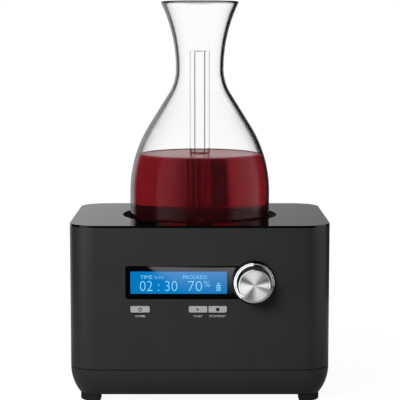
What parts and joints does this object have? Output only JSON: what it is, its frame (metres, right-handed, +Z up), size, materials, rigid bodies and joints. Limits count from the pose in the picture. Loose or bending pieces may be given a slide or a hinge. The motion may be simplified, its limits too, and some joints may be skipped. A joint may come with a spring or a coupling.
{
  "type": "electric wine decanter",
  "caption": "Rounded charcoal base with a display, turned knob and silver keys, and a flared glass decanter with a central air tube that lifts out of the deck's well.",
  "frame": {"origin": "on the standing plane, in the middle of the part's box: midway between the knob's face and the rear wall", "axes": "+Z up, -Y to the front with the display and knob, +X to the right as seen from the front"},
  "size_m": [0.238, 0.199, 0.3658],
  "materials": {
    "charcoal_shell": "fine satin texture",
    "gloss_black": "high gloss",
    "black_rubber": "matte",
    "soft_black": "satin",
    "steel": "plain",
    "brass": "plain",
    "clear_glass": "clear",
    "screen": "lit",
    "white_plastic": "plain",
    "blue_plastic": "plain",
    "knob_metal": "turned face, polished skirt",
    "key_silver": "satin silver",
    "board_green": "solder resist",
    "cast_alloy": "cast",
    "hose": "clear silicone",
    "cable": "plain"
  },
  "bodies": {
    "base": {"upper_housing": "charcoal_shell", "bottom_pan": "charcoal_shell", "top_deck": "gloss_black", "display_panel": "gloss_black", "knob_bezel": "gloss_black", "rubber_feet": "black_rubber", "well_mat": "black_rubber", "nozzle_seal": "black_rubber", "pump_mounts": "black_rubber", "well_cup": "soft_black", "solenoid_valve": "soft_black", "fan_frame": "soft_black", "board_parts": "soft_black", "dc_jack": "soft_black", "foot_screws": "steel", "well_screws": "steel", "board_screws": "steel", "main_board_screws": "steel", "fan_screws": "steel", "head_bolts": "steel", "oxygen_nozzle": "steel", "encoder_body": "steel", "switch_bodies": "steel", "pump_plate": "steel", "pump_motor": "steel", "nozzle_nut": "brass", "encoder_nut": "brass", "lcd_glass": "screen", "lcd_module": "white_plastic", "sieve_columns": "white_plastic", "intake_filter": "white_plastic", "column_caps": "blue_plastic", "crossover_bar": "blue_plastic", "control_board": "board_green", "main_board": "board_green", "pump_crankcase": "cast_alloy", "pump_cylinder": "cast_alloy", "pump_head": "cast_alloy", "valve_manifold": "cast_alloy", "intake_hose": "hose", "feed_hose": "hose", "oxygen_hose": "hose", "power_lead": "cable", "ribbon_cable": "cable"},
    "decanter": {"decanter_glass": "clear_glass", "air_tube": "clear_glass"},
    "knob": {"control_knob": "knob_metal", "encoder_shaft": "steel"},
    "power_key": {"power_button": "key_silver", "power_plunger": "soft_black"},
    "start_key": {"start_button": "key_silver", "start_plunger": "soft_black"},
    "stop_key": {"stop_button": "key_silver", "stop_plunger": "soft_black"},
    "fan": {"fan_rotor": "soft_black"}
  },
  "joints": [
    {"name": "decanter_lift", "type": "slide", "parent": "base", "child": "decanter", "axis": [0, 0, 1], "range_m": [0, 0.12]},
    {"name": "knob_turn", "type": "hinge", "parent": "base", "child": "knob", "pos_m": [0.049, -0.0825, 0.1118], "axis": [0, 1, 0], "continuous": true},
    {"name": "power_press", "type": "slide", "parent": "base", "child": "power_key", "axis": [0, 1, 0], "range_m": [0, 0.0008], "stiffness_N_per_m": 400, "springref_m": -0.001},
    {"name": "start_press", "type": "slide", "parent": "base", "child": "start_key", "axis": [0, 1, 0], "range_m": [0, 0.0008], "stiffness_N_per_m": 400, "springref_m": -0.001},
    {"name": "stop_press", "type": "slide", "parent": "base", "child": "stop_key", "axis": [0, 1, 0], "range_m": [0, 0.0008], "stiffness_N_per_m": 400, "springref_m": -0.001},
    {"name": "fan_spin", "type": "hinge", "parent": "base", "child": "fan", "pos_m": [-0.04, 0.0895, 0.065], "axis": [0, 1, 0], "continuous": true}
  ]
}
